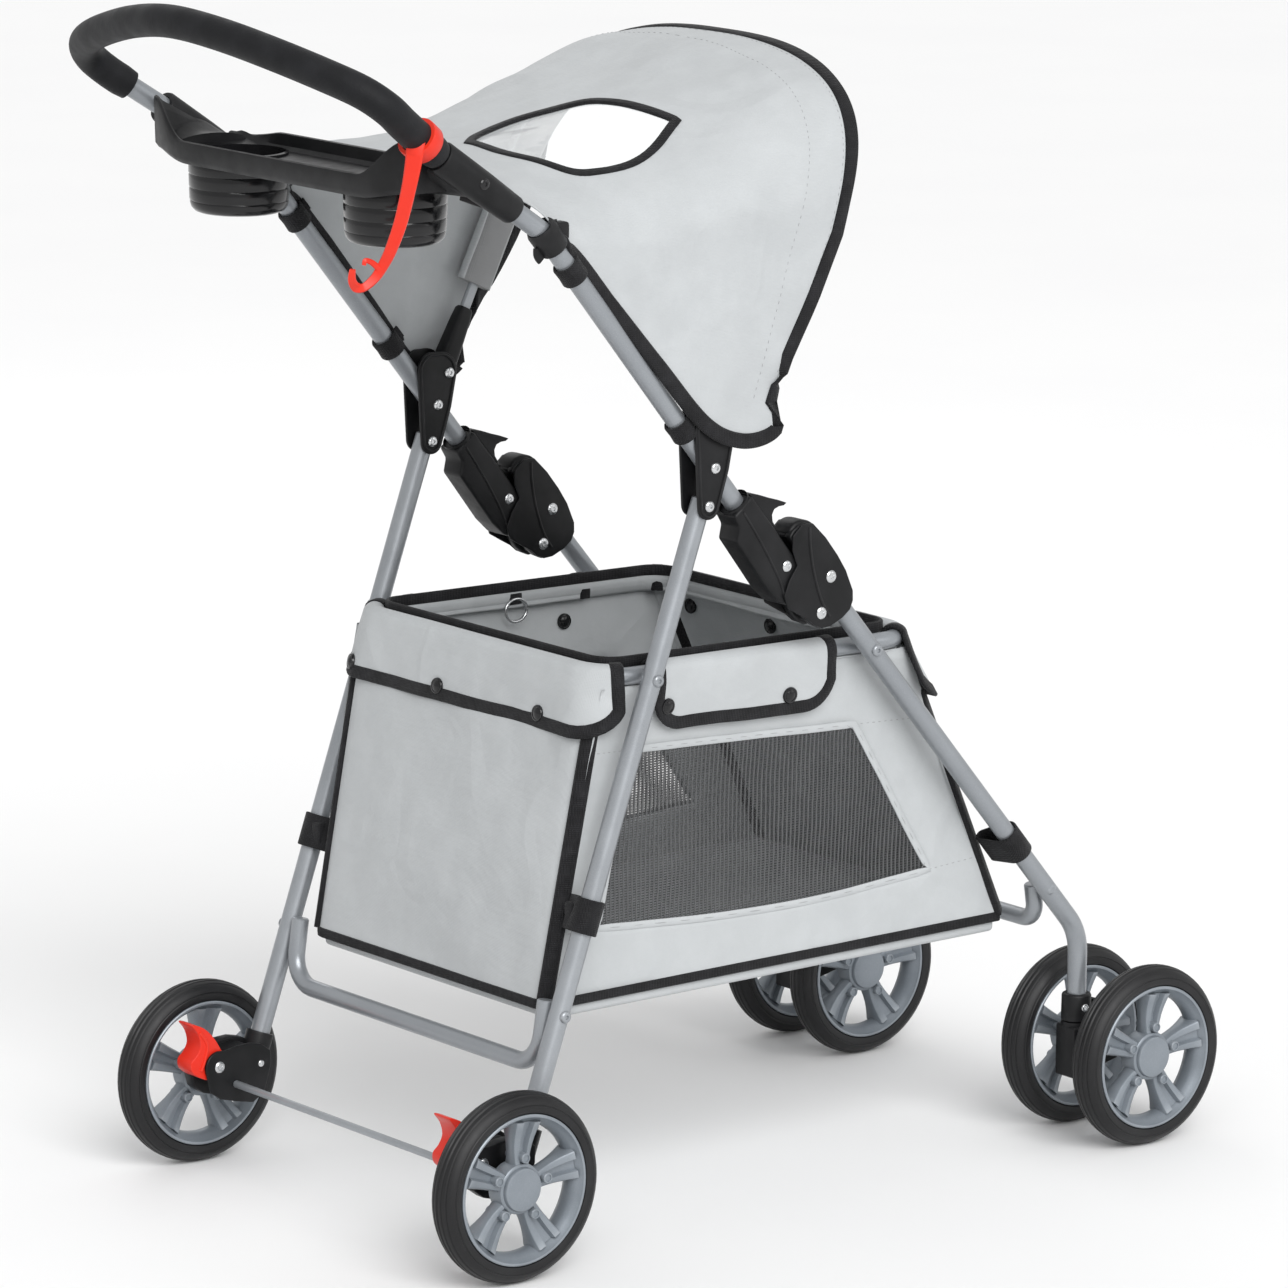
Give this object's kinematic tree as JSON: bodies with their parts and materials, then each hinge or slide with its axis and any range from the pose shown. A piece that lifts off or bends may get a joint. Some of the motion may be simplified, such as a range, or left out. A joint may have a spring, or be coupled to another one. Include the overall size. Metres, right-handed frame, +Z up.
{
  "type": "pet stroller",
  "caption": "Folding pet stroller: silver tube frame, six small wheels, grey fabric basket with mesh windows, canopy, cup tray and foam grip.",
  "frame": {"origin": "on the floor, below the middle of the whole object's bounding box", "axes": "+X forward in the direction of travel, +Y to the stroller's left, +Z up"},
  "size_m": [0.894, 0.468, 0.9654],
  "materials": {
    "silver_tube": "silver-grey powder coat, satin",
    "black_plastic": "black moulded nylon, fine grain",
    "gloss_black": "black moulded plastic, glossy",
    "foam": "black foam, matt",
    "tyre": "black EVA tyre, matt",
    "rim": "silver-grey painted plastic, satin",
    "grey_fabric": "light grey woven polyester with black binding and mesh windows",
    "red_plastic": "red moulded plastic",
    "steel": "zinc-plated steel"
  },
  "bodies": {
    "rear_frame": {"rear_leg_left": "silver_tube", "rear_leg_right": "silver_tube", "rear_cross_tube": "silver_tube", "brake_housing_left": "black_plastic", "brake_housing_right": "black_plastic", "rear_axle": "steel", "brake_pin_left": "steel", "brake_pin_right": "steel"},
    "handle": {"handle_tube": "silver_tube", "foam_grip": "foam", "cup_tray": "gloss_black", "cup_left": "gloss_black", "cup_right": "gloss_black", "tray_clamp_left": "black_plastic", "tray_clamp_right": "black_plastic", "bracket_outer_left": "black_plastic", "bracket_outer_right": "black_plastic", "bracket_inner_left": "black_plastic", "bracket_inner_right": "black_plastic", "lock_upper_left": "black_plastic", "lock_upper_right": "black_plastic", "hook_strap": "red_plastic"},
    "front_frame": {"front_leg_left": "silver_tube", "front_leg_right": "silver_tube", "front_cross_tube": "silver_tube", "lock_lower_left": "black_plastic", "lock_lower_right": "black_plastic", "lock_pin_left": "steel", "lock_pin_right": "steel", "caster_collar_left": "black_plastic", "caster_collar_right": "black_plastic"},
    "basket": {"basket_rail": "silver_tube", "basket_fabric": "grey_fabric", "floor_mat": "grey_fabric"},
    "canopy": {"canopy_bow": "steel", "bow_socket_left": "black_plastic", "bow_socket_right": "black_plastic", "canopy_fabric": "grey_fabric"},
    "rear_wheel_left": {"tyre_rear_left": "tyre", "rim_rear_left": "rim"},
    "brake_pedal_left": {"brake_pedal_left": "red_plastic"},
    "latch_left": {"latch_left": "black_plastic"},
    "caster_left": {"caster_fork_left": "black_plastic", "caster_axle_left": "steel"},
    "swivel_lock_left": {"swivel_lock_left": "black_plastic"},
    "front_wheel_left_outer": {"tyre_front_left_outer": "tyre", "rim_front_left_outer": "rim"},
    "front_wheel_left_inner": {"tyre_front_left_inner": "tyre", "rim_front_left_inner": "rim"},
    "rear_wheel_right": {"tyre_rear_right": "tyre", "rim_rear_right": "rim"},
    "brake_pedal_right": {"brake_pedal_right": "red_plastic"},
    "latch_right": {"latch_right": "black_plastic"},
    "caster_right": {"caster_fork_right": "black_plastic", "caster_axle_right": "steel"},
    "swivel_lock_right": {"swivel_lock_right": "black_plastic"},
    "front_wheel_right_outer": {"tyre_front_right_outer": "tyre", "rim_front_right_outer": "rim"},
    "front_wheel_right_inner": {"tyre_front_right_inner": "tyre", "rim_front_right_inner": "rim"}
  },
  "joints": [
    {"name": "handle_fold", "type": "hinge", "parent": "rear_frame", "child": "handle", "pos_m": [-0.068, 0, 0.5753], "axis": [0, -1, 0], "range_deg": [0, 83.6]},
    {"name": "front_fold", "type": "hinge", "parent": "handle", "child": "front_frame", "pos_m": [0.044, 0, 0.479], "axis": [0, 1, 0], "range_deg": [0, 140]},
    {"name": "basket_fold", "type": "hinge", "parent": "rear_frame", "child": "basket", "pos_m": [-0.115, 0, 0.444], "axis": [0, -1, 0], "range_deg": [0, 45.9], "deforming": ["basket_fabric", "floor_mat"]},
    {"name": "canopy_tilt", "type": "hinge", "parent": "handle", "child": "canopy", "pos_m": [-0.051, 0, 0.63], "axis": [0, -1, 0], "range_deg": [0, 60], "deforming": ["canopy_fabric"]},
    {"name": "rear_spin_left", "type": "hinge", "parent": "rear_frame", "child": "rear_wheel_left", "pos_m": [-0.271, 0.2085, 0.075], "axis": [0, 1, 0], "continuous": true},
    {"name": "brake_press_left", "type": "hinge", "parent": "rear_frame", "child": "brake_pedal_left", "pos_m": [-0.287, 0.169, 0.0914], "axis": [0, -1, 0], "range_deg": [0, 25]},
    {"name": "latch_slide_left", "type": "slide", "parent": "handle", "child": "latch_left", "axis": [-0.6397, 0, 0.7686], "range_m": [0, 0.012], "stiffness_N_per_m": 500, "springref_m": -0.004},
    {"name": "caster_swivel_left", "type": "hinge", "parent": "front_frame", "child": "caster_left", "pos_m": [0.335, 0.178, 0.1], "axis": [0, 0, 1], "continuous": true},
    {"name": "swivel_lock_left", "type": "hinge", "parent": "front_frame", "child": "swivel_lock_left", "pos_m": [0.35, 0.178, 0.113], "axis": [0, 1, 0], "range_deg": [0, 20]},
    {"name": "front_spin_left_outer", "type": "hinge", "parent": "caster_left", "child": "front_wheel_left_outer", "pos_m": [0.373, 0.221, 0.075], "axis": [0, 1, 0], "continuous": true},
    {"name": "front_spin_left_inner", "type": "hinge", "parent": "caster_left", "child": "front_wheel_left_inner", "pos_m": [0.373, 0.135, 0.075], "axis": [0, 1, 0], "continuous": true},
    {"name": "rear_spin_right", "type": "hinge", "parent": "rear_frame", "child": "rear_wheel_right", "pos_m": [-0.271, -0.2085, 0.075], "axis": [0, 1, 0], "continuous": true},
    {"name": "brake_press_right", "type": "hinge", "parent": "rear_frame", "child": "brake_pedal_right", "pos_m": [-0.287, -0.169, 0.0914], "axis": [0, -1, 0], "range_deg": [0, 25]},
    {"name": "latch_slide_right", "type": "slide", "parent": "handle", "child": "latch_right", "axis": [-0.6397, 0, 0.7686], "range_m": [0, 0.012], "stiffness_N_per_m": 500, "springref_m": -0.004},
    {"name": "caster_swivel_right", "type": "hinge", "parent": "front_frame", "child": "caster_right", "pos_m": [0.335, -0.178, 0.1], "axis": [0, 0, 1], "continuous": true},
    {"name": "swivel_lock_right", "type": "hinge", "parent": "front_frame", "child": "swivel_lock_right", "pos_m": [0.35, -0.178, 0.113], "axis": [0, 1, 0], "range_deg": [0, 20]},
    {"name": "front_spin_right_outer", "type": "hinge", "parent": "caster_right", "child": "front_wheel_right_outer", "pos_m": [0.373, -0.221, 0.075], "axis": [0, 1, 0], "continuous": true},
    {"name": "front_spin_right_inner", "type": "hinge", "parent": "caster_right", "child": "front_wheel_right_inner", "pos_m": [0.373, -0.135, 0.075], "axis": [0, 1, 0], "continuous": true}
  ],
  "couplings": [
    {"joint": "front_fold", "follows": "handle_fold", "ratio": 1.6746},
    {"joint": "basket_fold", "follows": "handle_fold", "ratio": 0.549}
  ]
}
